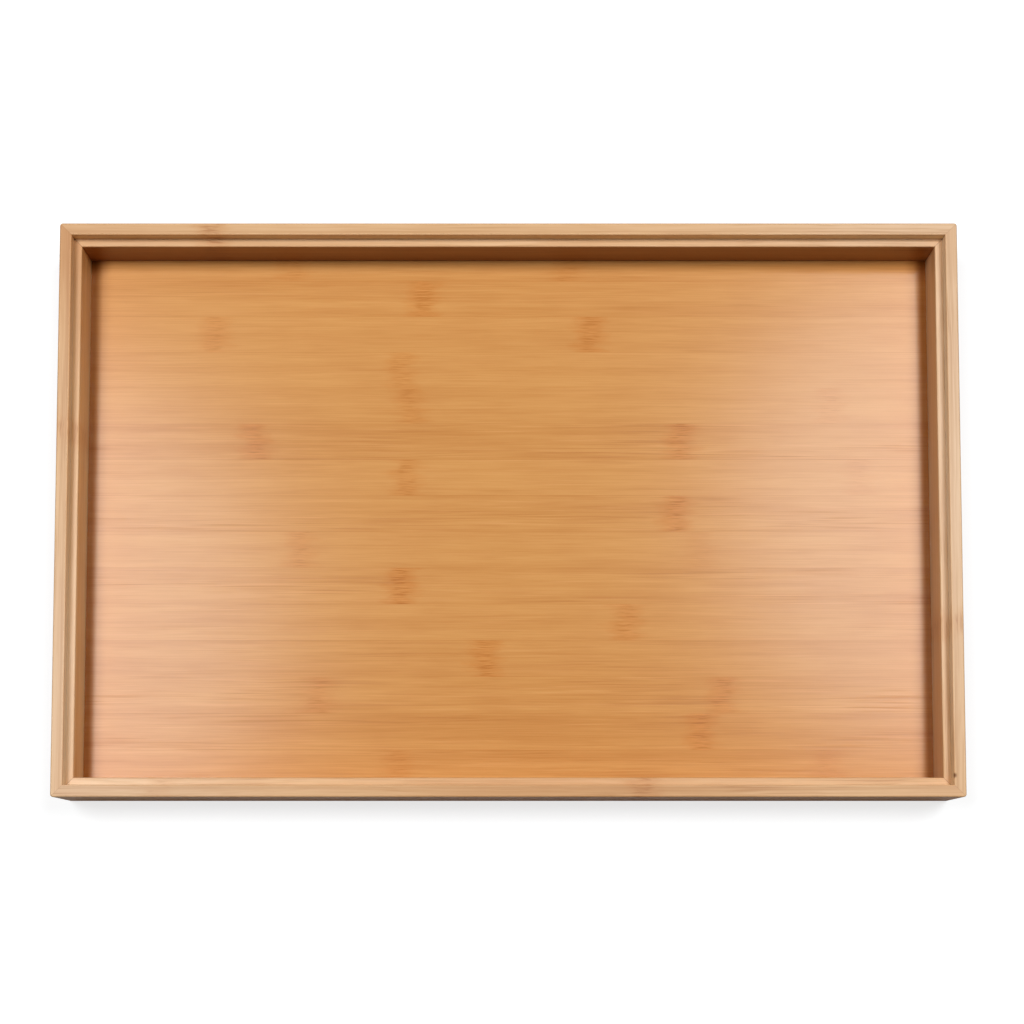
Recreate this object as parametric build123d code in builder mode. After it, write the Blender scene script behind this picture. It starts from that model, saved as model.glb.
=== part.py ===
from build123d import *
import os

# Bamboo serving tray: a mitred frame of four rebated rails, held at the corners by hidden
# splines, round a floor of edge-glued staves that sits in grooves in the rails.
# Millimetres. The origin is the middle of the tray on the surface it stands on.
# +X runs to the right along the tray, +Y to the back and +Z up.

# The whole tray
tray_length = 500
tray_depth = 320
tray_height = 50

# Rails
rail_thickness = 11
lip_width = 6.7  # top of a rail outside the rebate
rebate_depth = 8
arris_radius = 0.8  # rounding of every long edge that a hand meets
corner_radius = 1.6  # rounding of the four upright outer corners

# Floor
floor_thickness = 6
floor_lift = 8.5  # air between the floor and the surface below the tray
groove_depth = 4
swelling_gap = 0.3  # room for the floor to swell at the bottom of its grooves
stave_count = 15
back_stave_trim = 5.1  # sawn off the back stave when the board was cut to size

# Corner splines, each in a closed slot cut into both faces of a mitre
spline_thickness = 2.5
spline_cover = 6  # wood above and below a spline
groove_wall = 1.5  # wood between a slot and the floor's groove, along the mitre
outer_wall = 1.4  # wood between a slot and the outside of the tray
glue_gap = 0.2  # at each edge of a spline

# Worked out from the sizes above
up = Vector(0, 0, 1)
floor_top = floor_lift + floor_thickness
ledge_height = tray_height - rebate_depth
floor_inset = rail_thickness - groove_depth + swelling_gap  # outer face to floor edge
floor_length = tray_length - 2 * floor_inset
floor_depth = tray_depth - 2 * floor_inset
stave_width = (floor_depth + back_stave_trim) / stave_count

# Distances along a mitre run from its inner corner out to the corner of the tray.
mitre = 2**0.5
slot_start = groove_depth * mitre + groove_wall
slot_end = slot_start + spline_thickness
slot_width = 2 * ((rail_thickness - outer_wall) * mitre - slot_end)
spline_width = slot_width - 2 * glue_gap
spline_height = tray_height - 2 * spline_cover

rails = {
    "back_rail": (Vector(0, 1, 0), tray_depth / 2, tray_length / 2),
    "front_rail": (Vector(0, -1, 0), tray_depth / 2, tray_length / 2),
    "right_rail": (Vector(1, 0, 0), tray_length / 2, tray_depth / 2),
    "left_rail": (Vector(-1, 0, 0), tray_length / 2, tray_depth / 2),
}
corners = {
    "back_right_spline": (1, 1),
    "back_left_spline": (-1, 1),
    "front_right_spline": (1, -1),
    "front_left_spline": (-1, -1),
}


def write(piece, name):
    piece.part.label = name
    export_step(piece.part, f"parts/{name}.step")


def spline_plane(corner, outward):
    """A level plane at the foot of a spline, its X axis running out along the mitre."""
    inner_corner = corner - outward * rail_thickness * mitre
    middle = inner_corner + outward * (slot_start + slot_end) / 2
    return Plane(origin=middle + up * spline_cover, x_dir=outward, z_dir=up)


os.makedirs("parts", exist_ok=True)

# The outside of the frame, which rounds its corners and its top and bottom edges.
with BuildPart() as envelope:
    with BuildSketch():
        RectangleRounded(tray_length, tray_depth, corner_radius)
    extrude(amount=tray_height)
    fillet(envelope.edges().group_by(Axis.Z)[0], radius=arris_radius)
    fillet(envelope.edges().group_by(Axis.Z)[-1], radius=arris_radius)

# Rails: one section, run along each side, cut to the mitres and slotted for the splines.
for name, (outward, reach, half_run) in rails.items():
    along = outward.cross(up)
    inner = reach - rail_thickness
    rebate_wall = reach - lip_width
    groove_bottom = inner + groove_depth
    with BuildPart() as rail:
        with BuildSketch(Plane(origin=(0, 0, 0), x_dir=outward, z_dir=along)) as section:
            with BuildLine():
                Polyline(
                    (inner, 0),
                    (reach, 0),
                    (reach, tray_height),
                    (rebate_wall, tray_height),
                    (rebate_wall, ledge_height),
                    (inner, ledge_height),
                    (inner, floor_top),
                    (groove_bottom, floor_top),
                    (groove_bottom, floor_lift),
                    (inner, floor_lift),
                    close=True,
                )
            make_face()
            levels = section.vertices().group_by(Axis.Y)
            inner_edges = [levels[at].sort_by(Axis.X)[0] for at in (0, -2, -1)]
            fillet(inner_edges, radius=arris_radius)
        extrude(amount=half_run, both=True)
        for end in (along, -along):
            corner = outward * reach + end * half_run
            split(bisect_by=Plane(origin=corner, z_dir=end - outward), keep=Keep.BOTTOM)
            with BuildSketch(spline_plane(corner, (outward + end).normalized())):
                Rectangle(spline_thickness, slot_width)
            extrude(amount=spline_height, mode=Mode.SUBTRACT)
        add(envelope.part, mode=Mode.INTERSECT)
    write(rail, name)

# Splines: a thin upright strip across each mitre, hidden inside the corner.
for name, (side_x, side_y) in corners.items():
    corner = Vector(side_x * tray_length / 2, side_y * tray_depth / 2, 0)
    with BuildPart() as spline:
        with BuildSketch(spline_plane(corner, Vector(side_x, side_y, 0).normalized())):
            Rectangle(spline_thickness, spline_width)
        extrude(amount=spline_height)
    write(spline, name)

# Floor: staves glued edge to edge from back to front, their ends in the side grooves.
back_edge = floor_depth / 2
for index in range(stave_count):
    width = stave_width - (back_stave_trim if index == 0 else 0)
    with BuildPart() as stave:
        with BuildSketch(Plane.XY.offset(floor_lift)):
            with Locations((0, back_edge - width / 2)):
                Rectangle(floor_length, width)
        extrude(amount=floor_thickness)
    back_edge -= width
    write(stave, f"floor_stave_{index + 1:02d}")
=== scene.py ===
import math

import bmesh
import bpy
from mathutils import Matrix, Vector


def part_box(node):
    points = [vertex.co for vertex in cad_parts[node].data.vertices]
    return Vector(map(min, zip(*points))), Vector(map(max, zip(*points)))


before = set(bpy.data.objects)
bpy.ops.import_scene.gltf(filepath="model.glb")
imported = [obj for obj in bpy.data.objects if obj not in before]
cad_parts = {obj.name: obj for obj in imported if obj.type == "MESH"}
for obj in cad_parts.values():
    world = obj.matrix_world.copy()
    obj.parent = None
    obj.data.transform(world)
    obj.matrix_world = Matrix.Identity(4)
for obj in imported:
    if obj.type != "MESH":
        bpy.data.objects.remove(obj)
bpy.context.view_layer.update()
print("frame loaded:", len(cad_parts), "nodes")


# node helpers

def put(tree, kind, values=None, **settings):
    made = tree.nodes.new(kind)
    for name, value in settings.items():
        setattr(made, name, value)
    for name, value in (values or {}).items():
        feed(tree, value, made.inputs[name])
    return made


def feed(tree, value, socket):
    if isinstance(value, bpy.types.NodeSocket):
        tree.links.new(value, socket)
    else:
        socket.default_value = value


def maths(tree, operation, first, second=0.0, clamp=False):
    made = put(tree, "ShaderNodeMath", {0: first, 1: second}, operation=operation, use_clamp=clamp)
    return made.outputs[0]


def times(tree, first, second, clamp=False):
    return maths(tree, "MULTIPLY", first, second, clamp)


def less(tree, first, second):
    return maths(tree, "SUBTRACT", first, second)


def vectorMaths(tree, operation, *values):
    return put(tree, "ShaderNodeVectorMath", dict(enumerate(values)), operation=operation)


def ease(tree, value, low, high, start=0.0, end=1.0):
    # a smooth step from start at low to end at high
    values = {"Value": value, "From Min": low, "From Max": high, "To Min": start, "To Max": end}
    made = put(tree, "ShaderNodeMapRange", values, interpolation_type="SMOOTHSTEP")
    return made.outputs["Result"]


def tint(tree, amount, colour, by):
    # multiplies one colour by another, as far as amount goes
    values = {0: amount, 6: colour, 7: by}
    made = put(tree, "ShaderNodeMix", values, data_type="RGBA", blend_type="MULTIPLY")
    return made.outputs[2]


def scatter(tree, seed, amounts):
    # moves a pattern to its own place for each seed
    parts = {axis: times(tree, seed, amount) for axis, amount in enumerate(amounts)}
    return put(tree, "ShaderNodeCombineXYZ", parts).outputs[0]


def cloud(tree, place, scale, shift, detail, roughness=0.5):
    # noise with its own scale on each axis, in features a metre
    scaled = vectorMaths(tree, "MULTIPLY", place, scale)
    moved = vectorMaths(tree, "ADD", scaled.outputs[0], shift)
    values = {"Vector": moved.outputs[0], "Scale": 1.0, "Detail": detail, "Roughness": roughness}
    return put(tree, "ShaderNodeTexNoise", values).outputs["Fac"]


def newGroup(name, inputs, outputs):
    # inputs: socket name to (type, default); outputs: socket name to type
    kinds = {"float": "NodeSocketFloat", "colour": "NodeSocketColor", "vector": "NodeSocketVector"}
    tree = bpy.data.node_groups.new(name, "ShaderNodeTree")
    for label, (kind, value) in inputs.items():
        socket = tree.interface.new_socket(name=label, in_out="INPUT", socket_type=kinds[kind])
        if value is not None:
            socket.default_value = value
    for label, kind in outputs.items():
        tree.interface.new_socket(name=label, in_out="OUTPUT", socket_type=kinds[kind])
    return tree, tree.nodes.new("NodeGroupInput").outputs, tree.nodes.new("NodeGroupOutput").inputs


def useGroup(tree, group, values):
    made = put(tree, "ShaderNodeGroup", node_tree=group)
    for name, value in values.items():
        feed(tree, value, made.inputs[name])
    return made.outputs


def newMaterial(name):
    material = bpy.data.materials.new(name)
    material.use_nodes = True
    return material, material.node_tree, material.node_tree.nodes["Principled BSDF"]


def giveSurface(tree, shader, colour, relief, strength):
    # colour and a fine relief, at most a tenth of a millimetre deep
    bump = put(tree, "ShaderNodeBump", {"Height": relief, "Strength": strength, "Distance": 0.0001})
    feed(tree, colour, shader.inputs["Base Color"])
    feed(tree, bump.outputs["Normal"], shader.inputs["Normal"])


def dress(name, material):
    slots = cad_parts[name].data.materials
    slots.clear()
    slots.append(material)


# camera, lights and floor

cameraLook = dict(
    place=(0.002, -0.2144, 1.2296),  # above the tray and a little in front of it
    tilt=4.76,                       # degrees off straight down, towards the back
    lens=76.1,
    shiftY=0.2,                      # keeps the sides of the tray nearly parallel
)

softboxLook = dict(
    height=3.3,
    radius=0.6,                      # both are round
    leftPlace=(-1.09, 0.36),
    leftPower=73,
    rightPlace=(1.05, 0.60),
    rightPower=74,
    colour=(0.88, 0.96, 1.05),       # a little cool, as daylight tubes are
)

underLook = dict(
    depth=1.5,                       # below the one-sided floor, for the underside of the tray
    radius=0.5,
    power=10,
)

roomLook = dict(
    ambient=0.035,                   # grey light that fills the shadows
    backdrop=1.0,                    # what the camera sees past the floor
    floorRadius=6.0,
    floorDrop=0.0002,                # clear of the rails' undersides
    paper=(0.37, 0.35, 0.325, 1),    # how white the floor is under the tray
    paperRoughness=0.9,
    paperGloss=0.1,
    glow=0.74,                       # keeps the paper's far side from going grey
    glowReach=(0.25, 1.6),           # where the glow starts to rise, and where it is full
)


def makeCamera(look):
    data = bpy.data.cameras.new("trayCamera")
    data.lens = look["lens"]
    data.sensor_width = 36
    data.shift_y = look["shiftY"]
    camera = bpy.data.objects.new("trayCamera", data)
    camera.location = look["place"]
    camera.rotation_euler = (math.radians(look["tilt"]), 0, 0)
    bpy.context.scene.collection.objects.link(camera)
    bpy.context.scene.camera = camera


def makeSoftbox(name, place, radius, power, colour=(1, 1, 1)):
    # a round light that looks at the middle of the tray
    data = bpy.data.lights.new(name, "AREA")
    data.shape = "DISK"
    data.size = 2 * radius
    data.energy = power
    data.color = colour
    light = bpy.data.objects.new(name, data)
    light.location = place
    light.rotation_euler = (-light.location).to_track_quat("-Z", "Y").to_euler()
    light.visible_camera = False
    bpy.context.scene.collection.objects.link(light)


def makeWorld(look):
    # dim grey for everything but the camera, which sees plain white
    world = bpy.data.worlds.new("paleRoom")
    world.use_nodes = True
    tree = world.node_tree
    tree.nodes.clear()
    rays = put(tree, "ShaderNodeLightPath").outputs
    dim = put(tree, "ShaderNodeBackground", {"Strength": look["ambient"]})
    pale = put(tree, "ShaderNodeBackground", {"Strength": look["backdrop"], "Color": (1, 1, 1, 1)})
    parts = {0: rays["Is Camera Ray"], 1: dim.outputs[0], 2: pale.outputs[0]}
    both = put(tree, "ShaderNodeMixShader", parts)
    put(tree, "ShaderNodeOutputWorld", {"Surface": both.outputs[0]})
    bpy.context.scene.world = world


def paperMaterial(look):
    # white paper that stays white to the camera away from the softboxes
    paper, tree, shader = newMaterial("whitePaper")
    shader.inputs["Base Color"].default_value = look["paper"]
    shader.inputs["Roughness"].default_value = look["paperRoughness"]
    shader.inputs["Specular IOR Level"].default_value = look["paperGloss"]
    shader.inputs["Emission Color"].default_value = (1, 1, 1, 1)
    place = put(tree, "ShaderNodeTexCoord").outputs["Object"]
    away = vectorMaths(tree, "LENGTH", place).outputs["Value"]
    rays = put(tree, "ShaderNodeLightPath").outputs
    glow = ease(tree, away, *look["glowReach"], look["glow"])
    feed(tree, times(tree, glow, rays["Is Camera Ray"]), shader.inputs["Emission Strength"])
    # seen or lit from below the floor isn't there, so the underside of the tray can be looked at
    below = put(tree, "ShaderNodeNewGeometry").outputs["Backfacing"]
    gone = maths(tree, "MAXIMUM", below, rays["Is Shadow Ray"])
    clear = put(tree, "ShaderNodeBsdfTransparent")
    both = put(tree, "ShaderNodeMixShader", {0: gone, 1: shader.outputs[0], 2: clear.outputs[0]})
    feed(tree, both.outputs[0], tree.nodes["Material Output"].inputs["Surface"])
    return paper


def makeFloor(look):
    bm = bmesh.new()
    bmesh.ops.create_circle(bm, cap_ends=True, segments=96, radius=look["floorRadius"])
    mesh = bpy.data.meshes.new("studioFloor")
    bm.to_mesh(mesh)
    bm.free()
    mesh.materials.append(paperMaterial(look))
    floor = bpy.data.objects.new("studioFloor", mesh)
    floor.location.z = -look["floorDrop"]
    bpy.context.scene.collection.objects.link(floor)


makeCamera(cameraLook)
for side in ("left", "right"):
    boxPlace = (*softboxLook[side + "Place"], softboxLook["height"])
    makeSoftbox(side + "Softbox", boxPlace, softboxLook["radius"], softboxLook[side + "Power"],
                softboxLook["colour"])
makeSoftbox("underLight", (0, 0, -underLook["depth"]), underLook["radius"], underLook["power"])
makeWorld(roomLook)
makeFloor(roomLook)
bpy.context.scene.view_settings.view_transform = "Standard"
print("camera, softboxes and floor placed")


# What bamboo looks like, as node groups. Place is always in metres with X along the grain.

strandLook = dict(
    # how many features there are in a metre, along the grain and then across it
    swayScale=(11, 24, 24),
    streakScale=(3.2, 150, 150),
    bandScale=(7, 430, 430),
    mottleScale=(24, 70, 70),
    fibreScale=(15, 1050, 1050),
    crowdScale=(7, 95, 95),          # where the dark fibres crowd together
    paleScale=(18, 1100, 1100),
    threadScale=(34, 2000, 2000),
    bands=0.45,                      # how strong each one is
    mottled=0.30,
    paled=0.7,
    threads=0.7,
    mottle=(0.90, 0.82, 0.78, 1),
    pale=(1.10, 1.14, 1.30, 1),
    thread=(0.93, 0.89, 0.83, 1),
)

knuckleLook = dict(
    wanderScale=(0, 170, 170),       # the ring isn't quite straight across
    wander=0.008,
    raggedScale=(70, 330, 330),
    ragged=2.2,
    bendScale=(210, 330, 330),
    bend=0.7,
    rippleScale=(95, 1350, 1350),
    halfWidth=0.010,
    patch=(0.95, 0.83, 0.70, 1),
    ripple=(0.83, 0.75, 0.62, 1),
    between=(1.12, 1.16, 1.25, 1),   # the paler lines between the ripples
    paled=0.6,
)


def strandGroup(look):
    # broad streaks, narrower bands, fine dark and pale fibres, all drawn out along the grain
    inputs = {
        "Place": ("vector", None), "Seed": ("float", 0.0), "Body": ("colour", (0.6, 0.3, 0.1, 1)),
        "Streak Tint": ("colour", (0.8, 0.75, 0.65, 1)), "Fibre Tint": ("colour", (0.7, 0.6, 0.5, 1)),
        "Streaks": ("float", 0.5), "Fibres": ("float", 0.5), "Sway": ("float", 0.0012),
    }
    outputs = {"Colour": "colour", "Fibre Mask": "float", "Relief": "float"}
    tree, given, out = newGroup("bambooStrands", inputs, outputs)
    seed = given["Seed"]
    shift = scatter(tree, seed, (3.7, 11.3, 5.9))
    swing = cloud(tree, given["Place"], look["swayScale"], shift, 1.0)
    swing = times(tree, less(tree, swing, 0.5), given["Sway"])
    swing = put(tree, "ShaderNodeCombineXYZ", {1: swing, 2: swing}).outputs[0]
    place = vectorMaths(tree, "ADD", given["Place"], swing).outputs[0]

    streaks = cloud(tree, place, look["streakScale"], shift, 3.0, 0.55)
    streaks = times(tree, ease(tree, streaks, 0.34, 0.68), given["Streaks"])
    colour = tint(tree, streaks, given["Body"], given["Streak Tint"])
    bands = cloud(tree, place, look["bandScale"], scatter(tree, seed, (2.9, 5.3, 1.7)), 2.0, 0.55)
    bands = times(tree, ease(tree, bands, 0.42, 0.66), times(tree, given["Streaks"], look["bands"]))
    colour = tint(tree, bands, colour, given["Streak Tint"])
    mottle = cloud(tree, place, look["mottleScale"], shift, 3.0, 0.6)
    mottle = times(tree, ease(tree, mottle, 0.35, 0.68), look["mottled"])
    colour = tint(tree, mottle, colour, look["mottle"])

    crowd = cloud(tree, place, look["crowdScale"], scatter(tree, seed, (6.1, 2.2, 3.4)), 2.0)
    dark = cloud(tree, place, look["fibreScale"], shift, 1.0)
    dark = times(tree, ease(tree, dark, 0.50, 0.68), ease(tree, crowd, 0.40, 0.62))
    dark = times(tree, dark, given["Fibres"], clamp=True)
    colour = tint(tree, dark, colour, given["Fibre Tint"])
    pale = cloud(tree, place, look["paleScale"], scatter(tree, seed, (1.3, 4.1, 8.3)), 1.0)
    pale = times(tree, ease(tree, pale, 0.56, 0.72), given["Fibres"], clamp=True)
    colour = tint(tree, times(tree, pale, look["paled"]), colour, look["pale"])
    hair = cloud(tree, place, look["threadScale"], shift, 1.0)
    threads = times(tree, ease(tree, hair, 0.42, 0.64), look["threads"])
    colour = tint(tree, threads, colour, look["thread"])

    feed(tree, colour, out["Colour"])
    feed(tree, dark, out["Fibre Mask"])
    feed(tree, less(tree, times(tree, hair, 0.4), dark), out["Relief"])
    return tree


def knuckleGroup(look):
    # the ring between two lengths of cane: a warm patch with short rippled fibres stacked in it
    inputs = {
        "Colour": ("colour", (0.6, 0.3, 0.1, 1)), "Place": ("vector", None), "Seed": ("float", 0.0),
        "Along": ("float", 0.0), "Half Width": ("float", look["halfWidth"]), "Strength": ("float", 1.0),
        "Patch Tint": ("colour", look["patch"]), "Ripple Tint": ("colour", look["ripple"]),
    }
    tree, given, out = newGroup("bambooKnuckle", inputs, {"Colour": "colour", "Relief": "float"})
    place = given["Place"]
    strength = given["Strength"]
    shift = scatter(tree, given["Seed"], (7.1, 2.3, 1.0))
    wander = cloud(tree, place, look["wanderScale"], shift, 1.0)
    wander = times(tree, less(tree, wander, 0.5), look["wander"])
    along = put(tree, "ShaderNodeSeparateXYZ", {0: place}).outputs[0]
    offset = maths(tree, "ADD", less(tree, along, given["Along"]), wander)
    ratio = maths(tree, "DIVIDE", maths(tree, "ABSOLUTE", offset), given["Half Width"])
    core = ease(tree, ratio, 0.75, 0.15)

    ragged = cloud(tree, place, look["raggedScale"], shift, 3.0, 0.6)
    reach = maths(tree, "ADD", ratio, times(tree, less(tree, ragged, 0.5), look["ragged"]))
    patch = times(tree, ease(tree, reach, 1.35, 0.15), strength, clamp=True)
    colour = tint(tree, patch, given["Colour"], given["Patch Tint"])

    bend = cloud(tree, place, look["bendScale"], shift, 1.0)
    bend = put(tree, "ShaderNodeCombineXYZ", {1: times(tree, bend, look["bend"])}).outputs[0]
    bent = vectorMaths(tree, "ADD", shift, bend).outputs[0]
    ripple = cloud(tree, place, look["rippleScale"], bent, 1.0)
    dark = times(tree, ease(tree, ripple, 0.50, 0.66), core)
    dark = times(tree, dark, strength, clamp=True)
    colour = tint(tree, dark, colour, given["Ripple Tint"])
    light = times(tree, ease(tree, ripple, 0.46, 0.34), core)
    light = times(tree, light, strength, clamp=True)
    colour = tint(tree, times(tree, light, look["paled"]), colour, look["between"])

    feed(tree, colour, out["Colour"])
    feed(tree, times(tree, less(tree, times(tree, core, 0.5), dark), strength), out["Relief"])
    return tree


def lineGroup():
    # 1 on the line where Value meets Centre, fading to 0 at Reach either side of it
    inputs = {"Value": ("float", 0.0), "Centre": ("float", 0.0), "Reach": ("float", 0.001)}
    tree, given, out = newGroup("nearLine", inputs, {"Mask": "float"})
    off = maths(tree, "ABSOLUTE", less(tree, given["Value"], given["Centre"]))
    off = maths(tree, "DIVIDE", off, given["Reach"])
    feed(tree, ease(tree, off, 1.0, 0.0), out["Mask"])
    return tree


strands = strandGroup(strandLook)
knuckle = knuckleGroup(knuckleLook)
nearLine = lineGroup()
print("bamboo node groups made")


def lineMask(tree, value, centre, reach):
    return useGroup(tree, nearLine, {"Value": value, "Centre": centre, "Reach": reach})["Mask"]


def addKnuckles(tree, place, seed, knuckles, colour, relief, tints):
    for count, (along, strength) in enumerate(knuckles):
        ring = useGroup(tree, knuckle, {
            "Colour": colour, "Place": place, "Seed": seed + count, "Along": along, "Strength": strength,
            **tints,
        })
        colour = ring["Colour"]
        relief = maths(tree, "ADD", relief, times(tree, ring["Relief"], 0.3))
    return colour, relief


staveLook = dict(
    body=(0.695, 0.315, 0.092, 1),
    streak=(0.88, 0.80, 0.70, 1),
    fibre=(0.85, 0.75, 0.61, 1),
    deeper=(0.93, 0.88, 0.82, 1),    # what a dark stave leans to
    paintedShade=(0.50, 0.36, 0.22, 1),      # painted shade along the foot of the side rails
    paintedShadeReach=(0.2315, 0.2370),      # from the middle of the tray outwards
    corner=(0.239, 0.149, 0),        # painted shade, deeper still in the back corners
    cornerReach=0.014,
    seam=0.00035,                    # half width of the glue line between staves
    seamStrength=0.45,
    relief=0.3,
    roughness=0.17,
    fibreRoughness=0.22,
    gloss=0.145,
)

# Where each stave's knuckles fall along the tray and how strong they are, then how dark and stringy it is.
staves = [
    dict(knuckles=((-0.123, 0.5), (0.034, 0.5)), shade=0.45, fibres=0.45),
    dict(knuckles=((-0.049, 0.8),), shade=0.25, fibres=0.40),
    dict(knuckles=((-0.168, 0.6), (0.047, 0.8)), shade=0.10, fibres=0.25),
    dict(knuckles=((-0.061, 0.6),), shade=0.10, fibres=0.30),
    dict(knuckles=((-0.056, 0.6), (0.182, 0.4)), shade=0.05, fibres=0.30),
    dict(knuckles=((-0.144, 0.9), (0.098, 0.9)), shade=0.45, fibres=0.95),
    dict(knuckles=((-0.058, 0.7), (0.199, 0.3)), shade=0.12, fibres=0.40),
    dict(knuckles=((0.095, 1.0),), shade=0.28, fibres=0.80),
    dict(knuckles=((-0.118, 0.6), (0.109, 0.3)), shade=0.15, fibres=0.35),
    dict(knuckles=((-0.061, 1.0),), shade=0.35, fibres=0.85),
    dict(knuckles=((0.066, 0.8),), shade=0.30, fibres=0.50),
    dict(knuckles=((-0.013, 0.9),), shade=0.42, fibres=0.55),
    dict(knuckles=((-0.108, 0.6), (0.1205, 0.8)), shade=0.35, fibres=1.0),
    dict(knuckles=((0.108, 0.9),), shade=0.50, fibres=0.75),
    dict(knuckles=((-0.062, 0.5), (0.179, 0.5)), shade=0.50, fibres=0.65),
]


def staveMaterial(number, look, stave, edges):
    material, tree, shader = newMaterial(f"floorBamboo{number:02d}")
    place = put(tree, "ShaderNodeTexCoord").outputs["Object"]
    axes = put(tree, "ShaderNodeSeparateXYZ", {0: place}).outputs
    seed = number * 1.37
    grain = useGroup(tree, strands, {
        "Place": place, "Seed": seed, "Body": look["body"], "Streak Tint": look["streak"],
        "Fibre Tint": look["fibre"], "Streaks": 0.35 + stave["shade"] * 0.6, "Fibres": stave["fibres"],
    })
    colour = tint(tree, stave["shade"], grain["Colour"], look["deeper"])
    relief = times(tree, grain["Relief"], 0.35)
    colour, relief = addKnuckles(tree, place, seed, stave["knuckles"], colour, relief, {})
    for edge in edges:
        seam = times(tree, lineMask(tree, axes["Y"], edge, look["seam"]), look["seamStrength"])
        colour = tint(tree, seam, colour, look["fibre"])
    outwards = maths(tree, "ABSOLUTE", axes["X"])
    # painted shade: the floor darkens towards the side rails
    colour = tint(tree, ease(tree, outwards, *look["paintedShadeReach"]), colour, look["paintedShade"])
    # painted shade, deepest in the back corners
    folded = put(tree, "ShaderNodeCombineXYZ", {0: outwards, 1: axes["Y"]}).outputs[0]
    away = vectorMaths(tree, "DISTANCE", folded, look["corner"]).outputs["Value"]
    dark = ease(tree, away, look["cornerReach"], look["cornerReach"] * 0.2, 0.0, 0.8)
    colour = tint(tree, dark, colour, look["paintedShade"])
    giveSurface(tree, shader, colour, relief, look["relief"])
    rough = ease(tree, grain["Fibre Mask"], 0.0, 1.0, look["roughness"], look["fibreRoughness"])
    feed(tree, rough, shader.inputs["Roughness"])
    shader.inputs["Specular IOR Level"].default_value = look["gloss"]
    return material


for number, stave in enumerate(staves, 1):
    name = f"floor_stave_{number:02d}"
    low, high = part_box(name)
    dress(name, staveMaterial(number, staveLook, stave, (low[1], high[1])))
print("floor staves finished:", len(staves))


railShape = dict(
    halfLength=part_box("right_rail")[1][0],
    halfWidth=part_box("back_rail")[1][1],
    rim=0.050,                       # how high the rim stands
    lip=0.0067,                      # how wide it is
    ledge=0.042,                     # how high the ledge of the rebate lies
    thickness=0.011,
)

railLook = dict(
    body=(0.740, 0.425, 0.200, 1),
    streak=(0.86, 0.77, 0.66, 1),
    fibre=(0.74, 0.62, 0.48, 1),
    patch=(0.91, 0.80, 0.68, 1),
    ripple=(0.72, 0.58, 0.46, 1),
    streaks=0.7,
    fibres=0.55,
    sway=0.004,
    warm=(0.86, 0.74, 0.62, 1),      # slow drifts in colour along a rail
    pale=(1.04, 1.14, 1.34, 1),
    rebate=(1.29, 1.75, 2.20, 1),    # painted light on the rebate wall, as if it were coved to catch the light from above
    rebateBand=(0.0461, 0.0055),     # the middle of its height, and how far it fades either way
    ledge=(1.00, 1.03, 1.07, 1),     # painted light, a little, on the ledge that the lip shades
    outer=(1.10, 0.88, 0.66, 1),     # painted shade, warmer and darker, on the outside faces
    edgeHighlight=(1.14, 1.18, 1.28, 1),    # painted highlight along the rounded edges
    glue=(0.90, 0.84, 0.78, 1),      # between the rail's two layers
    # lines along each rail: how far in from the outside, tint, half width, strength
    lines=(
        (0.0063, "edgeHighlight", 0.0006, 0.8),
        (0.0106, "edgeHighlight", 0.0006, 0.55),
        (0.0049, "glue", 0.0009, 0.7),
    ),
    mitre=(0.50, 0.36, 0.26, 1),
    mitreReach=0.00035,              # half width of the dark hairline at each mitre
    pit=(0.30, 0.20, 0.12, 1),
    relief=0.3,
    roughness=0.34,
    gloss=0.18,
)

# Drifts are a tint, where along the rail it is strongest, how far it reaches and how strong it is.
rails = {
    "back_rail": dict(
        turn=0, seed=31.0, knuckles=((-0.165, 0.8),),
        drifts=(("warm", -0.25, 0.12, 0.3), ("pale", 0.24, 0.16, 0.8)),
        inner=(0.56, 0.43, 0.26, 1),  # painted shade on this inside face
    ),
    "front_rail": dict(
        turn=0, seed=42.0, knuckles=((0.073, 0.7), (-0.19, 0.4)),
        drifts=(("warm", 0.04, 0.16, 0.7), ("pale", -0.22, 0.12, 0.9)),
        inner=(1, 1, 1, 1),
    ),
    "left_rail": dict(
        turn=-90, seed=53.0, knuckles=((0.043, 0.7),),
        drifts=(("warm", 0.16, 0.12, 1.0), ("pale", -0.10, 0.14, 0.6)),
        # painted light on this inside face
        inner=(1.24, 1.38, 1.26, 1),
    ),
    "right_rail": dict(
        turn=-90, seed=64.0, knuckles=((-0.066, 0.7),),
        drifts=(("pale", 0.06, 0.30, 1.0),),
        # a little painted shade on this inside face
        inner=(0.98, 0.98, 0.90, 1),
        pit=(0.2434, -0.1482, 0.0495),  # a small open pore near the front corner
        pitSize=0.0013,
    ),
}


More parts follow.
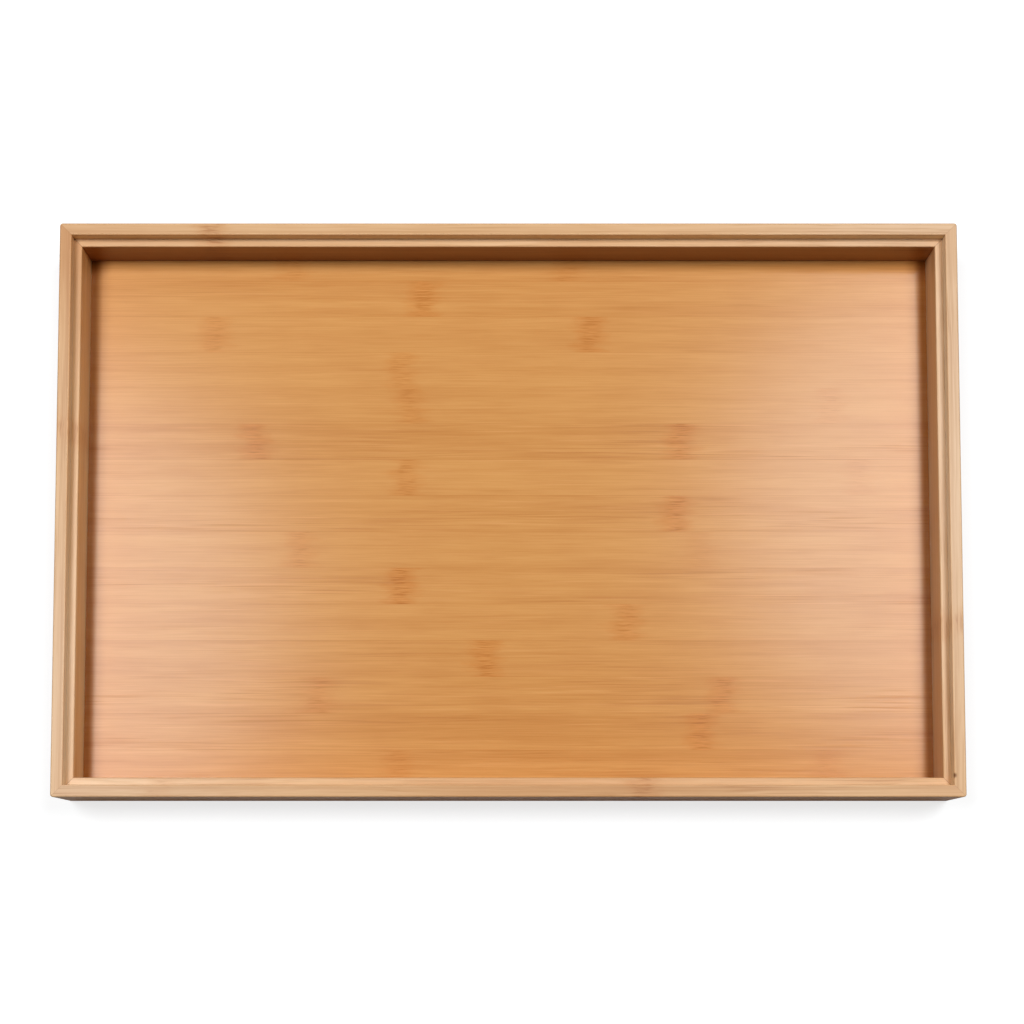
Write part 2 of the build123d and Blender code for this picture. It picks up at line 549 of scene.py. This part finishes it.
def railMaterial(name, look, rail, shape):
    material, tree, shader = newMaterial(name + "Bamboo")
    place = put(tree, "ShaderNodeTexCoord").outputs["Object"]
    axes = put(tree, "ShaderNodeSeparateXYZ", {0: place}).outputs
    turn = (0, 0, math.radians(rail["turn"]))
    turned = put(tree, "ShaderNodeMapping", {"Vector": place, "Rotation": turn}).outputs[0]
    grain = useGroup(tree, strands, {
        "Place": turned, "Seed": rail["seed"], "Body": look["body"], "Streak Tint": look["streak"],
        "Fibre Tint": look["fibre"], "Streaks": look["streaks"], "Fibres": look["fibres"],
        "Sway": look["sway"],
    })
    colour = grain["Colour"]
    along = put(tree, "ShaderNodeSeparateXYZ", {0: turned}).outputs[0]
    for shade, centre, reach, strength in rail["drifts"]:
        drift = times(tree, lineMask(tree, along, centre, reach), strength)
        colour = tint(tree, drift, colour, look[shade])
    relief = times(tree, grain["Relief"], 0.35)
    tints = {"Patch Tint": look["patch"], "Ripple Tint": look["ripple"]}
    colour, relief = addKnuckles(tree, turned, rail["seed"], rail["knuckles"], colour, relief, tints)

    # how far in from the outside of the tray, and how high
    fromEnd = less(tree, shape["halfLength"], maths(tree, "ABSOLUTE", axes["X"]))
    fromSide = less(tree, shape["halfWidth"], maths(tree, "ABSOLUTE", axes["Y"]))
    inwards = maths(tree, "MINIMUM", fromEnd, fromSide)
    height = axes["Z"]
    rim, lip, ledge, thickness = (shape[key] for key in ("rim", "lip", "ledge", "thickness"))
    nearTop = ease(tree, height, ledge - 0.0015, ledge - 0.0005)

    # painted light on the rebate wall
    rebateLight = ease(tree, lineMask(tree, height, *look["rebateBand"]), 0.05, 0.5)
    rebateLight = times(tree, rebateLight, lineMask(tree, inwards, lip, 0.0003))
    rebateLight = times(tree, rebateLight, ease(tree, height, rim - 0.0005, rim - 0.0012))
    colour = tint(tree, rebateLight, colour, look["rebate"])
    # painted light on the ledge
    ledgeLight = times(tree, ease(tree, height, ledge + 0.0005, ledge + 0.0001),
                    ease(tree, inwards, lip - 0.0001, lip + 0.0002))
    colour = tint(tree, times(tree, ledgeLight, nearTop), colour, look["ledge"])
    # painted shade on the outside faces
    outside = times(tree, ease(tree, inwards, 0.0006, 0.0001),
                    ease(tree, height, rim - 0.0001, rim - 0.0008))
    colour = tint(tree, outside, colour, look["outer"])
    # painted shading on each rail's inside face, set per rail
    inside = times(tree, ease(tree, inwards, thickness - 0.0002, thickness - 0.00005),
                   ease(tree, height, ledge - 0.0004, ledge - 0.0012))
    colour = tint(tree, inside, colour, rail["inner"])

    # painted highlights along the rounded edges, and the dark glue line
    for centre, shade, reach, strength in look["lines"]:
        mask = times(tree, lineMask(tree, inwards, centre, reach), nearTop)
        colour = tint(tree, times(tree, mask, strength), colour, look[shade])
    mitre = lineMask(tree, less(tree, fromEnd, fromSide), 0.0, look["mitreReach"])
    gape = ease(tree, inwards, lip - 0.0009, lip + 0.0005, 0.35, 0.95)  # the joint is tighter across the lip
    colour = tint(tree, times(tree, mitre, gape), colour, look["mitre"])
    if "pit" in rail:
        away = vectorMaths(tree, "DISTANCE", place, rail["pit"]).outputs["Value"]
        hole = ease(tree, away, rail["pitSize"] * 1.5, rail["pitSize"] * 0.4)
        colour = tint(tree, hole, colour, look["pit"])
        relief = less(tree, relief, times(tree, hole, 4.0))
    giveSurface(tree, shader, colour, relief, look["relief"])
    shader.inputs["Roughness"].default_value = look["roughness"]
    shader.inputs["Specular IOR Level"].default_value = look["gloss"]
    return material


for name, rail in rails.items():
    dress(name, railMaterial(name, railLook, rail, railShape))
print("rails finished:", len(rails))


# the splines are glued inside the corners, out of sight

splineLook = dict(
    body=(0.56, 0.33, 0.15, 1),
    streaks=0.8,
    fibres=0.8,
    relief=0.4,
    roughness=0.55,
    seed=77.0,
)


def splineMaterial(look):
    material, tree, shader = newMaterial("splineBamboo")
    place = put(tree, "ShaderNodeTexCoord").outputs["Object"]
    upright = put(tree, "ShaderNodeMapping", {"Vector": place, "Rotation": (0, math.radians(90), 0)})
    grain = useGroup(tree, strands, {
        "Place": upright.outputs[0], "Seed": look["seed"], "Body": look["body"],
        "Streak Tint": railLook["streak"], "Fibre Tint": railLook["fibre"],
        "Streaks": look["streaks"], "Fibres": look["fibres"],
    })
    giveSurface(tree, shader, grain["Colour"], grain["Relief"], look["relief"])
    shader.inputs["Roughness"].default_value = look["roughness"]
    return material


splineBamboo = splineMaterial(splineLook)
for corner in ("back_left", "back_right", "front_left", "front_right"):
    dress(corner + "_spline", splineBamboo)
print("splines finished")
